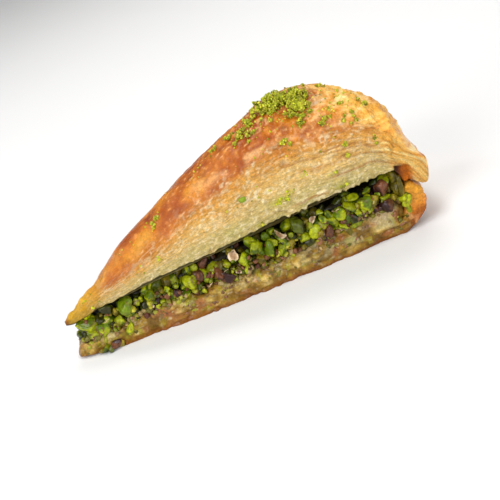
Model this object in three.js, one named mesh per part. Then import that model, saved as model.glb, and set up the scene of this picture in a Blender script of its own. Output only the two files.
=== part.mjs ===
// A carrot-slice baklava: one long wedge cut from a round tray, standing on its base.
//
// The wedge's axis runs along +X, from the tray's middle (the point) to its rim, and +Z is up.
// Four layers lie on each other: a soaked lower pastry whose end turns up at the rim, a layer of
// semolina cream, a layer of chopped pistachio, and a tall puffed upper pastry whose sheets have
// drawn back from the cuts. A small heap of ground pistachio lies on its crest.
// All sizes are in millimetres, and every layer is a loft of closed sections along the axis.

import * as THREE from "three";

// Driving sizes of the wedge.
const RIM_AT = 140; // from the cut point to the tray's rim, along the axis
const POINT_HALF_WIDTH = 3.2; // the point is this blunt, as a knife leaves it
const RIM_HALF_WIDTH = 27;
const SIDE_BOW = 2.5; // the soft cut sides spread this far beyond straight
const RIM_SAG = 2.7; // how far the round rim falls back at its corners
const SEAT_GAP = 0.3; // clearance between a layer and what it lies on
const SIDE_BULGE = 0.5; // a soft layer's cut side swells out this far at mid height

// Heights of the layers at the point and at the rim.
const LOWER_PASTRY_TOP = { point: 4, rim: 4.6 };
const CREAM_TOP = { point: 7.6, rim: 10.6 };
const FILLING_TOP = { point: 16.6, rim: 22.6 };
const POINT_LIFT = { height: 1.1, length: 22 }; // the underside rises a little at the point

// The turned-up end of the lower pastry.
const LIP = { start: 137.4, end: 145, top: 18.6, rise: 1.2, round: 2.4 };
const LIP_UNDERCUT = { length: 7, height: 8, power: 2.2 }; // the lip leans out, so its foot is cut back
const LOWER_PASTRY_CROWN = 0.6; // its top falls this much towards the cuts

// Where the cream and the filling stop, short of that lip.
const FILLING_END = 136.9;
const CREAM_START = 0.6;
const CREAM_INSET = 0.5; // the cream's side lies this far behind the cut, between its swellings
const CREAM_SWELL = { length: 9, depth: 0.5 };
const FILLING_START = 1.2;
const FILLING_INSET = 0.8; // the filling lies this far behind the cut, at each side
const CHUNK = { width: 4.4, depth: 1.1 }; // size of a nut chunk, and how far it stands out

// The puffed upper pastry.
const CRUST_START = 0.2; // its thin tip ends above the point
const CRUST_END = 150.8; // and its nose hangs over the rim
const CRUST_OVERHANG = 0.9; // at each side
const HOOK = { start: 137.9, end: 142, bottom: 19.4 }; // its end turns down over the filling
const CREST = [
  // [distance from the point, height of the crest]
  [CRUST_START, 18.4],
  [8, 21.2],
  [15, 23.4],
  [22, 28.6],
  [32, 35],
  [48, 42],
  [68, 51],
  [80, 56],
  [92, 60.5],
  [102, 64],
  [110, 65],
  [118, 63.8],
  [131, 57.6],
  [140, 50],
  [145.5, 43.6],
  [149.2, 36],
  [CRUST_END, 28.6],
];
const CRUST_EDGE = [
  // [distance from the point, height of the crust's lower edge at the cuts]
  [CRUST_START, 17.6],
  [13, 18.4],
  [38, 21.8],
  [62, 23.4],
  [102, 26.6],
  [129, 26.4],
];
const SECTION_POWER = [
  // [distance from the point, superellipse power of the crust's section: 2 is round, more is boxy]
  [CRUST_START, 2],
  [40, 2.2],
  [66, 2.4],
  [90, 1.8],
  [105, 1.6],
  [118, 1.9],
  [138, 3],
  [CRUST_END, 3],
];
const TIP_ROUND = 9; // the crust narrows to its tip over this length
const NOSE_ROUND = { length: 8, share: 0.93 }; // and to this share of its width at the nose
const REST_SHARE = 0.55; // the share of its width over which the crust lies on the filling
const TIP_FREE = { from: 6, to: -2 }; // and it comes off the filling over this stretch at the tip
const CRUST_LIP = { height: 0.5, share: 0.97 }; // the blunt lower edge of the crust's side
const CRUST_SWELL = { length: 16, steps: 5, height: 0.6 }; // soft lumps over the crust

// The heap of ground pistachio on the crest. Its turn is in degrees.
const HEAP = { at: 104, side: -6, length: 29, width: 13, height: 3.2, turn: 17 };
const HEAP_RIM = { height: 0.9, ragged: 0.16, lobes: 1.7 }; // its edge is this high and this uneven
const HEAP_LUMP = { width: 2.4, height: 0.5 };
const HEAP_CLEARANCE = 1; // from the crust's even surface: its lumps take up to 0.6 of it

const clamp = (v, low, high) => Math.min(high, Math.max(low, v));
const mix = (a, b, share) => a + (b - a) * share;
const ease = (from, to, v) => {
  const share = clamp((v - from) / (to - from), 0, 1);
  return share * share * (3 - 2 * share);
};
const between = (ends, s) => mix(ends.point, ends.rim, clamp(s / RIM_AT, 0, 1));

// A smooth curve through [position, value] pairs that never overshoots them.
function curveThrough(points) {
  const slope = points.map((p, i) => {
    if (i === 0 || i === points.length - 1) return 0;
    const before = (p[1] - points[i - 1][1]) / (p[0] - points[i - 1][0]);
    const after = (points[i + 1][1] - p[1]) / (points[i + 1][0] - p[0]);
    return before * after <= 0 ? 0 : (2 * before * after) / (before + after);
  });
  slope[0] = (points[1][1] - points[0][1]) / (points[1][0] - points[0][0]);
  return (at) => {
    const last = points.length - 2;
    const i = clamp(points.findIndex((p) => p[0] > at) - 1, 0, last);
    const k = at >= points[last + 1][0] ? last : i;
    const [a, b] = [points[k], points[k + 1]];
    const span = b[0] - a[0];
    const t = clamp((at - a[0]) / span, 0, 1);
    const rise = t * t * (3 - 2 * t);
    return (
      mix(a[1], b[1], rise) +
      span * (slope[k] * t * (1 - t) * (1 - t) - slope[k + 1] * t * t * (1 - t))
    );
  };
}

const crestHeight = curveThrough(CREST);
const edgeHeight = curveThrough(CRUST_EDGE);
const sectionPower = curveThrough(SECTION_POWER);

// Half the wedge's width at a distance from the point.
const halfWidth = (s) => {
  const share = clamp(s / RIM_AT, 0, 1.06);
  const bow = 4 * SIDE_BOW * share * Math.max(1 - share, 0);
  return mix(POINT_HALF_WIDTH, RIM_HALF_WIDTH, share) + bow;
};

// A place in the wedge: s runs along the axis, and share from -1 to 1 across it.
// The tray's round rim pulls the corners back.
const place = (s, share, half, z) =>
  new THREE.Vector3(
    s - RIM_SAG * share * share * clamp(s / RIM_AT, 0, 1),
    share * half,
    z,
  );

// Repeatable unevenness from -1 to 1, smooth over cells of one unit.
function unevenness(x, y, seed) {
  const corner = (i, j) => {
    const h = Math.sin(i * 127.1 + j * 311.7 + seed * 74.7) * 43758.5453;
    return 2 * (h - Math.floor(h)) - 1;
  };
  const [i, j] = [Math.floor(x), Math.floor(y)];
  const [u, v] = [ease(0, 1, x - i), ease(0, 1, y - j)];
  return mix(
    mix(corner(i, j), corner(i + 1, j), u),
    mix(corner(i, j + 1), corner(i + 1, j + 1), u),
    v,
  );
}

// Distances from start to end, count of them, crowded towards both ends by the given power.
function stations(start, end, count, crowd = 1) {
  return Array.from({ length: count }, (_, i) => {
    const t = i / (count - 1);
    const eased = (1 - Math.cos(Math.PI * t)) / 2;
    return mix(start, end, mix(t, eased, crowd));
  });
}

// A closed solid through rings of equally many points, with a fan over each end.
function loft(rings) {
  const size = rings[0].length;
  const points = rings.flat();
  const faces = [];
  for (let i = 0; i + 1 < rings.length; i++)
    for (let j = 0; j < size; j++) {
      const next = (j + 1) % size;
      const [a, b] = [i * size + j, i * size + next];
      faces.push(a, b + size, b, a, a + size, b + size);
    }
  const close = (ring, first, flip) => {
    const middle = points.length;
    points.push(
      ring
        .reduce((sum, p) => sum.add(p), new THREE.Vector3())
        .divideScalar(size),
    );
    for (let j = 0; j < size; j++) {
      const pair = [first + j, first + ((j + 1) % size)];
      faces.push(middle, ...(flip ? pair.reverse() : pair));
    }
  };
  close(rings[0], 0, false);
  close(rings[rings.length - 1], (rings.length - 1) * size, true);
  const geometry = new THREE.BufferGeometry();
  geometry.setFromPoints(points);
  geometry.setIndex(faces);
  geometry.computeVertexNormals();
  return geometry;
}

// One ring of a slab: up its near side, across its top, down its far side and back underneath.
// bottom and top give heights for a share across, and side how far a side stands out at a height share.
function slabRing(s, half, bottom, top, side, across, up) {
  const ring = [];
  for (let j = 0; j < up; j++) {
    const rise = j / up;
    const out = half + side(rise, -1);
    ring.push(place(s, -1, out, mix(bottom(-1), top(-1), rise)));
  }
  for (let j = 0; j <= across; j++) {
    const share = mix(-1, 1, j / across);
    const out = half + side(1, Math.sign(share)) * Math.abs(share);
    ring.push(place(s, share, out, top(share)));
  }
  for (let j = up - 1; j >= 0; j--) {
    const rise = j / up;
    const out = half + side(rise, 1);
    ring.push(place(s, 1, out, mix(bottom(1), top(1), rise)));
  }
  for (let j = 1; j < across; j++) {
    const share = mix(1, -1, j / across);
    const out = half + side(0, Math.sign(share)) * Math.abs(share);
    ring.push(place(s, share, out, bottom(share)));
  }
  return ring;
}

const lowerPastryTop = (s) => between(LOWER_PASTRY_TOP, s);
const creamTop = (s) => between(CREAM_TOP, s);
const fillingTop = (s) => between(FILLING_TOP, s);

// The soaked lower pastry: a thin slab whose last stretch rises to the lip at the rim. The lip
// leans outwards, so the slab's underside rises towards its end.
function lowerPastry() {
  const bulge = (rise) => SIDE_BULGE * Math.sin(Math.PI * rise);
  const lipTop = (s) => {
    const outer = clamp((s - LIP.end + LIP.round) / LIP.round, 0, 1);
    const round = LIP.round * (1 - Math.sqrt(1 - outer * outer));
    const risen = ease(LIP.start, LIP.start + LIP.rise, s);
    return mix(lowerPastryTop(s), LIP.top, risen) - round;
  };
  const underside = (s) => {
    const out = clamp((s - LIP.end) / LIP_UNDERCUT.length + 1, 0, 1);
    const cut = 1 - Math.sqrt(1 - out ** LIP_UNDERCUT.power);
    const lift = ease(POINT_LIFT.length, 0, s);
    return LIP_UNDERCUT.height * cut + POINT_LIFT.height * lift;
  };
  const along = [
    ...stations(0, LIP.start - LIP.rise / 10, 22, 0.3),
    ...stations(LIP.start + LIP.rise / 10, LIP.end, 11, 0.5),
  ];
  return loft(
    along.map((s) =>
      slabRing(
        s,
        halfWidth(s),
        () => underside(s),
        (share) => lipTop(s) - LOWER_PASTRY_CROWN * share * share,
        bulge,
        6,
        3,
      ),
    ),
  );
}

// The semolina cream, a soft slab that swells out of the cuts here and there.
function creamLayer() {
  const along = stations(CREAM_START, FILLING_END, 32, 0.2);
  const swell = (s, rise, hand) =>
    SIDE_BULGE * Math.sin(Math.PI * rise) +
    CREAM_SWELL.depth * unevenness(s / CREAM_SWELL.length, rise * 2, hand + 3);
  return loft(
    along.map((s) =>
      slabRing(
        s,
        halfWidth(s) - CREAM_INSET,
        () => lowerPastryTop(s) + SEAT_GAP,
        () => creamTop(s),
        (rise, hand) => swell(s, rise, hand),
        6,
        3,
      ),
    ),
  );
}

// The chopped pistachio, one solid out to the uneven outline of its chunks. Its top is level where
// the crust lies on it, and its sides stay clear of the cream's edge.
function pistachioFilling() {
  const along = stations(FILLING_START, FILLING_END, 56, 0.1);
  const sideHeight = 10;
  const chunk = (s, rise, hand) => {
    const row = 0.5 + (rise * sideHeight) / CHUNK.width;
    const shown = ease(-0.2, 0.4, rise);
    return CHUNK.depth * shown * unevenness(s / CHUNK.width, row, hand + 11);
  };
  const top = (s, share) => {
    const dip = 1 + unevenness(s / CHUNK.width, 7 * share, 5);
    return fillingTop(s) - (dip / 2) * ease(REST_SHARE, 1, Math.abs(share) + 0.2);
  };
  return loft(
    along.map((s) =>
      slabRing(
        s,
        halfWidth(s) - FILLING_INSET,
        () => creamTop(s) + SEAT_GAP,
        (share) => top(s, share),
        (rise, hand) => chunk(s, rise, hand),
        6,
        5,
      ),
    ),
  );
}

// Half the crust's width: it narrows to a point at the tip and rounds off at the nose.
function crustHalfWidth(s) {
  const tip = Math.sqrt(clamp((s - CRUST_START + 0.4) / TIP_ROUND, 0, 1));
  const out = clamp(s - CRUST_END + NOSE_ROUND.length, 0, NOSE_ROUND.length);
  const nose = Math.sqrt(1 - (out / NOSE_ROUND.length) ** 2);
  return (halfWidth(s) + CRUST_OVERHANG) * tip * mix(NOSE_ROUND.share, 1, nose);
}

// The height of the crust's underside. It lies on the filling in the middle, lifts towards the cuts
// and the tip, and hooks down past the filling's end.
function crustUnderside(s, share) {
  const seat = fillingTop(clamp(s, 0, RIM_AT)) + SEAT_GAP;
  const lift =
    (edgeHeight(s) - seat) *
    Math.max(
      ease(REST_SHARE, 1, Math.abs(share)),
      ease(TIP_FREE.from, TIP_FREE.to, s),
    );
  const hooked = mix(seat + lift, HOOK.bottom, ease(HOOK.start, HOOK.end, s));
  const out = clamp((s - CRUST_END) / NOSE_ROUND.length + 1, 0, 1);
  const noseLift = 1 - Math.sqrt(1 - out ** 2);
  return mix(hooked, crestHeight(CRUST_END) - 2, noseLift);
}

// The upper pastry: sections of a rounded arch on the uneven underside.
function upperPastry() {
  const arch = 22;
  const across = 10;
  const along = [
    ...stations(CRUST_START, HOOK.start, 34, 0.35),
    ...stations(HOOK.start, HOOK.end, 5).slice(1),
    ...stations(HOOK.end, CRUST_END, 8).slice(1),
  ];
  return loft(
    along.map((s) => {
      const half = crustHalfWidth(s);
      const edge = crustUnderside(s, 1);
      const rise = Math.max(crestHeight(s) - edge, CRUST_LIP.height);
      const power = sectionPower(s);
      const ring = [];
      for (let j = 0; j <= arch; j++) {
        const angle = (Math.PI * j) / arch;
        const c = Math.cos(angle);
        const share = -Math.sign(c) * Math.abs(c) ** (2 / power);
        const up = Math.sin(angle) ** (2 / power);
        const lump = unevenness(s / CRUST_SWELL.length, j / CRUST_SWELL.steps, 21);
        const swell = CRUST_SWELL.height * lump * Math.sin(angle);
        const z = edge + CRUST_LIP.height + rise * up + swell;
        ring.push(place(s, share, half + swell, z));
      }
      for (let j = 0; j <= across; j++) {
        const share = mix(1, -1, j / across) * CRUST_LIP.share;
        ring.push(place(s, share, half, crustUnderside(s, share)));
      }
      return ring;
    }),
  );
}

// The crust's top surface at a place, for what lies on it.
function crustTop(s, y) {
  const half = crustHalfWidth(s);
  const edge = crustUnderside(s, 1);
  const share = clamp(Math.abs(y) / half, 0, 0.999);
  const up = (1 - share ** sectionPower(s)) ** (1 / sectionPower(s));
  return edge + CRUST_LIP.height + (crestHeight(s) - edge) * up;
}

// The heap of ground pistachio: a low mound with a ragged outline that follows the crust below it.
function pistachioHeap() {
  const rows = 13;
  const around = 22;
  const rings = [];
  const spot = (turn, reach) => {
    const ragged = 1 + HEAP_RIM.ragged * unevenness(turn * HEAP_RIM.lobes, 3, 31);
    const along = (HEAP.length / 2) * reach * ragged * Math.cos(turn);
    const aside = (HEAP.width / 2) * reach * ragged * Math.sin(turn);
    const tilt = -THREE.MathUtils.degToRad(HEAP.turn);
    return [
      HEAP.at + along * Math.cos(tilt) - aside * Math.sin(tilt),
      HEAP.side + along * Math.sin(tilt) + aside * Math.cos(tilt),
    ];
  };
  for (let i = 0; i < rows; i++) {
    const fold = i / (rows - 1); // 0 under the middle, 1 above the middle
    const reach = Math.sin(Math.PI * mix(0.04, 0.96, fold));
    const above = ease(0.42, 0.58, fold);
    const ring = [];
    for (let j = 0; j < around; j++) {
      const [s, y] = spot((-2 * Math.PI * j) / around, reach);
      const dome = Math.sqrt(clamp(1 - reach * reach, 0, 1));
      const lump = unevenness(s / HEAP_LUMP.width, y / HEAP_LUMP.width, 41);
      const height = HEAP_RIM.height + HEAP.height * dome + HEAP_LUMP.height * lump;
      const z = crustTop(s, y) + HEAP_CLEARANCE + above * height;
      ring.push(new THREE.Vector3(s, y, z));
    }
    rings.push(ring);
  }
  return loft(rings);
}

function finish(colour, roughness) {
  return new THREE.MeshStandardMaterial({
    color: new THREE.Color(...colour),
    roughness,
    metalness: 0,
    flatShading: true,
  });
}

function layer(name, geometry, material) {
  const mesh = new THREE.Mesh(geometry, material);
  mesh.name = name;
  return mesh;
}

const slice = new THREE.Group();
slice.add(
  layer("lower_pastry", lowerPastry(), finish([0.5, 0.3, 0.12], 0.4)),
  layer("cream_layer", creamLayer(), finish([0.6, 0.55, 0.36], 0.35)),
  layer("pistachio_filling", pistachioFilling(), finish([0.3, 0.42, 0.06], 0.5)),
  layer("upper_pastry", upperPastry(), finish([0.78, 0.45, 0.16], 0.35)),
  layer("pistachio_heap", pistachioHeap(), finish([0.5, 0.58, 0.1], 0.8)),
);

// The origin is the middle of the underside of the whole slice.
const box = new THREE.Box3().setFromObject(slice, true);
const middle = box.getCenter(new THREE.Vector3());
slice.position.set(-middle.x, -middle.y, -box.min.z);

export default slice;
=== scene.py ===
import math

import bpy
import numpy as np
from mathutils import Matrix, Vector
from mathutils.bvhtree import BVHTree


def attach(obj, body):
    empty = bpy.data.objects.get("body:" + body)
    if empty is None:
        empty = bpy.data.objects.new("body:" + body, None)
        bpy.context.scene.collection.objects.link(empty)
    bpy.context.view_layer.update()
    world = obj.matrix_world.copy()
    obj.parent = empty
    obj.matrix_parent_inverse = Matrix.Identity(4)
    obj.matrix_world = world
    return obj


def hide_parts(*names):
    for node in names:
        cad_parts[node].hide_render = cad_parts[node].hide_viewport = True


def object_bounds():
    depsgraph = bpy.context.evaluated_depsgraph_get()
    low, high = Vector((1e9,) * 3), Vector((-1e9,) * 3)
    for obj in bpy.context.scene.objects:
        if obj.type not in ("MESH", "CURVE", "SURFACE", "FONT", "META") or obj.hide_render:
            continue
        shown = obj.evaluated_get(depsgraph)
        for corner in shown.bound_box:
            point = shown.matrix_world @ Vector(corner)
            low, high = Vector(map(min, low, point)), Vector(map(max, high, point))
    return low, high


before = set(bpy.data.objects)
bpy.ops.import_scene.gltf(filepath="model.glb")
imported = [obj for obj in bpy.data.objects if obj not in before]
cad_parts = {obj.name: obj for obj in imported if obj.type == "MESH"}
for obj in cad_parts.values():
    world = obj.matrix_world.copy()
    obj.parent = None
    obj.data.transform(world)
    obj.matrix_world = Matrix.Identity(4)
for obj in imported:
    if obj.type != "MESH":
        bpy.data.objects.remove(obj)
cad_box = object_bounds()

# A carrot-slice baklava. Shapes are worked out in millimetres in the slice's own measure, where s
# runs along the axis from the cut point to the rim, y across and z up, and go to metres at the end.

MM = 0.001
START_X = cad_box[0].x / MM  # where s is 0 in the frame

# ---- sizes shared with the CAD layers
RIM_AT = 140
POINT_HALF_WIDTH = 3.2
RIM_HALF_WIDTH = 27
SIDE_BOW = 2.5
RIM_SAG = 2.7
CRUST_START = 0.2
CRUST_END = 150.8
CRUST_OVERHANG = 0.9
HOOK_START, HOOK_END, HOOK_BOTTOM = 137.9, 142, 19.4
TIP_ROUND = 9
NOSE_LENGTH, NOSE_SHARE = 8, 0.93
REST_SHARE = 0.55
CRUST_LIP = 0.5
CREST = [(0.2, 18.4), (8, 21.2), (15, 23.4), (22, 28.6), (32, 35), (48, 42), (68, 51), (80, 56),
         (92, 60.5), (102, 64), (110, 65), (118, 63.8), (131, 57.6), (140, 50), (145.5, 43.6),
         (149.2, 36), (150.8, 28.6)]
CRUST_EDGE = [(0.2, 17.6), (13, 18.4), (38, 21.8), (62, 23.4), (102, 26.6), (129, 26.4)]
SECTION_POWER = [(0.2, 2), (40, 2.2), (66, 2.4), (90, 1.8), (105, 1.6), (118, 1.9), (138, 3),
                 (150.8, 3)]


def clip01(v):
    return np.clip(v, 0.0, 1.0)  # floats, so that whole numbers come out as floats too


def ease(a, b, v):
    t = clip01((v - a) / (b - a))
    return t * t * (3 - 2 * t)


def mix(a, b, t):
    return a + (b - a) * t


def curve(points):
    """A smooth curve through (position, value) pairs that never overshoots them."""
    xs = np.array([p[0] for p in points], float)
    ys = np.array([p[1] for p in points], float)
    chord = np.diff(ys) / np.diff(xs)
    slope = np.zeros(len(xs))
    slope[0] = chord[0]
    for i in range(1, len(xs) - 1):
        a, b = chord[i - 1], chord[i]
        slope[i] = 0 if a * b <= 0 else 2 * a * b / (a + b)

    def at(v):
        v = np.asarray(v, float)
        k = np.clip(np.searchsorted(xs, v, side="right") - 1, 0, len(xs) - 2)
        span = xs[k + 1] - xs[k]
        t = clip01((v - xs[k]) / span)
        rise = t * t * (3 - 2 * t)
        bend = slope[k] * t * (1 - t) ** 2 - slope[k + 1] * t * t * (1 - t)
        return mix(ys[k], ys[k + 1], rise) + span * bend

    return at


crest = curve(CREST)
edge_height = curve(CRUST_EDGE)
section_power = curve(SECTION_POWER)


def half_width(s):
    share = np.clip(np.asarray(s, float) / RIM_AT, 0, 1.06)
    bow = 4 * SIDE_BOW * share * np.maximum(1 - share, 0)
    return mix(POINT_HALF_WIDTH, RIM_HALF_WIDTH, share) + bow


def filling_top(s):
    return mix(16.6, 22.6, clip01(np.asarray(s, float) / RIM_AT))


def lower_top(s):
    return mix(4, 4.6, clip01(np.asarray(s, float) / RIM_AT))


def crust_half(s):
    tip = np.sqrt(clip01((s - CRUST_START + 0.4) / TIP_ROUND))
    out = np.clip(s - CRUST_END + NOSE_LENGTH, 0, NOSE_LENGTH) / NOSE_LENGTH
    nose = np.sqrt(np.maximum(1 - out ** 2, 0))
    return (half_width(s) + CRUST_OVERHANG) * tip * mix(NOSE_SHARE, 1, nose)


def crust_under(s, share):
    seat = filling_top(s) + 0.3
    lift = (edge_height(s) - seat) * np.maximum(
        ease(REST_SHARE, 1, np.abs(share)), ease(6, -2, s))
    hooked = mix(seat + lift, HOOK_BOTTOM, ease(HOOK_START, HOOK_END, s))
    out = clip01((s - CRUST_END) / NOSE_LENGTH + 1)
    return mix(hooked, 28.6 - 2, 1 - np.sqrt(1 - out ** 2))


def sag_x(s, share):
    return s - RIM_SAG * share * share * clip01(s / RIM_AT)


# ---- noise
def _hash(ix, iy, iz, seed):
    with np.errstate(over="ignore"):
        h = (ix.astype(np.int64) * 374761393 + iy.astype(np.int64) * 668265263
             + iz.astype(np.int64) * 2147483647 + seed * 1274126177)
        h = (h ^ (h >> 13)) * 1103515245
        h = h ^ (h >> 16)
    return (h & 0xFFFFFF) / float(0x7FFFFF) - 1


def noise(x, y=0, z=0, seed=0):
    """Smooth repeatable noise from -1 to 1 with cells of one unit."""
    x, y, z = np.broadcast_arrays(np.asarray(x, float), np.asarray(y, float), np.asarray(z, float))
    ix, iy, iz = np.floor(x), np.floor(y), np.floor(z)
    u, v, w = x - ix, y - iy, z - iz
    u, v, w = u * u * (3 - 2 * u), v * v * (3 - 2 * v), w * w * (3 - 2 * w)
    total = 0
    for dx in (0, 1):
        for dy in (0, 1):
            for dz in (0, 1):
                weight = (u if dx else 1 - u) * (v if dy else 1 - v) * (w if dz else 1 - w)
                total = total + weight * _hash(ix + dx, iy + dy, iz + dz, seed)
    return total


def fbm(x, y=0, z=0, seed=0, octaves=3):
    total, size, weight = 0, 1, 0
    for k in range(octaves):
        total = total + noise(np.asarray(x) * 2 ** k, np.asarray(y) * 2 ** k,
                              np.asarray(z) * 2 ** k, seed + 17 * k) * size
        weight += size
        size *= 0.5
    return total / weight


def cells(x, y, z):
    """Noise over these places, asked for by its cells' sizes along x and y and by its seed."""
    return lambda a, b, seed: noise(x / a, y / b, z, seed)


def spots(values, gain, less=0):
    """Scattered patches from 0 to 1 where the noise is high: fewer with more taken off."""
    return clip01(values * gain - less)


# ---- colour
def linear(rgb):
    c = np.asarray(rgb, float) / 255
    return np.where(c <= 0.04045, c / 12.92, ((c + 0.055) / 1.055) ** 2.4)


def blend(a, b, t):
    """Colour a going over to b, which may be an (r, g, b) of 0 to 255."""
    t = np.asarray(t)[..., None]
    return a * (1 - t) + (linear(b) if isinstance(b, tuple) else b) * t


def stained(tone, *stains):
    """The colours with stains laid over in turn, each a colour and how strong it is."""
    for colour, strength in stains:
        tone = blend(tone, colour, strength)
    return tone


def ramp(v, stops):
    """Colours along v through (value, (r, g, b)) stops."""
    xs = [p[0] for p in stops]
    cols = np.array([linear(p[1]) for p in stops])
    return np.stack([np.interp(v, xs, cols[:, k]) for k in range(3)], -1)


def placed(name, data):
    """A new object in the scene for a mesh, a lamp or the camera."""
    ob = bpy.data.objects.new(name, data)
    bpy.context.scene.collection.objects.link(ob)
    return ob


def make_piece(name, verts, faces, tone, wet, material, node, **more):
    """A mesh piece from millimetres, with its colour and wetness held on its points."""
    me = bpy.data.meshes.new(name)
    co = np.asarray(verts, float).reshape(-1, 3) + (START_X, 0, 0)
    faces = np.asarray(faces, np.int32)
    count, corners = faces.shape
    me.vertices.add(len(co))
    me.vertices.foreach_set("co", (co * MM).ravel())
    me.loops.add(faces.size)
    me.loops.foreach_set("vertex_index", faces.ravel())
    me.polygons.add(count)
    me.polygons.foreach_set("loop_start", np.arange(0, faces.size, corners, dtype=np.int32))
    me.polygons.foreach_set("loop_total", np.full(count, corners, np.int32))
    me.polygons.foreach_set("use_smooth", np.full(count, True))
    me.update(calc_edges=True)
    me.validate()
    rgba = np.ones((len(co), 4))
    rgba[:, :3] = np.clip(np.asarray(tone, float).reshape(-1, 3), 0, 1)
    me.attributes.new("tone", "FLOAT_COLOR", "POINT").data.foreach_set("color", rgba.ravel())
    for key, values in {"wet": clip01(np.broadcast_to(np.ravel(wet), len(co))), **more}.items():
        held = me.attributes.new(key, "FLOAT", "POINT")
        held.data.foreach_set("value", np.asarray(values, float).ravel())
    me.materials.append(material)
    ob = placed(name, me)
    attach(ob, "root")
    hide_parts(node)


def ring_faces(rows, ring):
    """Quads of a tube of rows closed rings."""
    i = np.arange(rows - 1)[:, None] * ring
    j = np.arange(ring)[None, :]
    nxt = (j + 1) % ring
    return np.stack([i + j, i + ring + j, i + ring + nxt, i + nxt], -1).reshape(-1, 4)


def cap_faces(ring, first, flip):
    """Closes a ring by quads between its two halves: rings here mirror across their middle."""
    k = np.arange(ring // 2 - 1)
    quads = first + np.stack([k, k + 1, ring - 2 - k, ring - 1 - k], -1)
    return quads[:, ::-1] if flip else quads


def tube(rings):
    """Points and faces of a closed solid through rings shaped (rows, ring, 3)."""
    rows, ring = rings.shape[:2]
    faces = [ring_faces(rows, ring), cap_faces(ring, 0, False),
             cap_faces(ring, (rows - 1) * ring, True)]
    return rings.reshape(-1, 3), np.concatenate(faces)


def solid(name, made, material, node):
    """A closed piece from a shape's rings, colours and wetness."""
    rings, tone, wet = made
    make_piece(name, *tube(rings), tone, wet, material, node)


def slab_grid(along, side, across):
    """Rings along a slab: for each point its place along, its share of the height from 0 to 1, and
    its share of the half width from -1 to 1."""
    up = np.linspace(0, 1, side)
    over = np.linspace(-1, 1, across + 2)[1:-1]
    high = np.concatenate([up, np.ones(across), up[::-1], np.zeros(across)])
    share = np.concatenate([-np.ones(side), over, np.ones(side), over[::-1]])
    return np.broadcast_arrays(along[:, None], high, share)


def grid_normals(p):
    du = np.gradient(p, axis=0)
    dv = np.roll(p, -1, axis=1) - np.roll(p, 1, axis=1)
    n = np.cross(dv, du)
    return n / np.maximum(np.linalg.norm(n, axis=-1, keepdims=True), 1e-9)


# ---- materials
class Graph:
    """Short ways to add nodes to a material. Each gives the new node's output."""

    def __init__(self, name):
        self.mat = bpy.data.materials.new(name)
        self.mat.use_nodes = True
        self.shader = self.mat.node_tree.nodes["Principled BSDF"]

    def put(self, node, inputs):
        """Sets a node's inputs to numbers, or joins them to other nodes' outputs."""
        for key, value in inputs.items():
            if isinstance(value, bpy.types.NodeSocket):
                self.mat.node_tree.links.new(value, node.inputs[key])
            else:
                node.inputs[key].default_value = value

    def add(self, kind, out, inputs, **settings):
        node = self.mat.node_tree.nodes.new("ShaderNode" + kind)
        for key, value in settings.items():
            setattr(node, key, value)
        self.put(node, inputs)
        return node.outputs[out]

    def held(self, name, out="Fac"):
        return self.add("Attribute", out, {}, attribute_name=name)

    def place(self):
        return self.add("TexCoord", "Object", {})

    def math(self, operation, a, b):
        return self.add("Math", "Value", {0: a, 1: b}, operation=operation)

    def noise(self, vector, scale, detail, roughness=0.55):
        return self.add("TexNoise", "Fac", {"Vector": vector, "Scale": scale, "Detail": detail,
                                            "Roughness": roughness})

    def span(self, value, low, high, to_low, to_high):
        return self.add("MapRange", "Result", {"Value": value, "From Min": low, "From Max": high,
                                               "To Min": to_low, "To Max": to_high})

    def times(self, colour, factor):
        return self.add("VectorMath", "Vector", {0: colour, "Scale": factor}, operation="SCALE")

    def bump(self, height, strength, distance, **under):
        return self.add("Bump", "Normal", {"Strength": strength, "Distance": distance,
                                           "Height": height, **under})


def food(name, rough, coat, grain, fleck, specular, sss=0, radius=(0.9, 0.45, 0.18), depth=0.0012,
         layered=None):
    """A material whose colour and wetness come from the piece's points, with fine grain on top.
    layered is (share of light and dark, cells a metre, sheets) for thin sheets seen edge on."""
    g = Graph(name)
    place = g.place()
    colour = g.times(g.held("tone", "Color"),
                     g.span(g.noise(place, fleck[0], 3), 0.3, 0.7, 1 - fleck[1], 1 + fleck[1]))
    normal = g.bump(g.noise(place, grain[0], 4), grain[1], 0.0003)
    if layered:
        share, fine, sheets = layered
        flaky = g.held("flaky")
        x, y = (g.add("SeparateXYZ", axis, {"Vector": place}) for axis in "XY")
        vector = g.add("CombineXYZ", "Vector", {"X": g.math("MULTIPLY", x, fine),
                                                "Y": g.math("MULTIPLY", g.held("lay"), sheets),
                                                "Z": g.math("MULTIPLY", y, fine)})
        streaks = g.noise(vector, 1, 5, 0.7)
        change = g.math("MULTIPLY", g.span(streaks, 0.32, 0.68, -share, share), flaky)
        colour = g.times(colour, g.math("ADD", change, 1))
        normal = g.bump(g.math("MULTIPLY", streaks, flaky), 0.9, 0.0011, Normal=normal)
        film = g.math("MULTIPLY", g.noise(place, 760, 5, 0.6), g.math("SUBTRACT", 1, flaky))
        normal = g.bump(film, 0.4, 0.0016, Normal=normal)
    g.put(g.shader, {
        "Base Color": colour, "Roughness": g.span(g.held("wet"), 0, 1, *rough), "Normal": normal,
        "Coat Weight": coat, "Coat Roughness": 0.15, "Specular IOR Level": specular,
        "Subsurface Weight": sss, "Subsurface Radius": radius, "Subsurface Scale": depth})
    return g.mat


# ---- the camera
AZIMUTH, ELEVATION, ROLL = (math.radians(angle) for angle in (-10, 23, 21.5))
LENS, DISTANCE = 85, 460  # mm
AIM = (-5.4, 0, 26)
SHIFT = (0.063, -0.0536)


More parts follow.
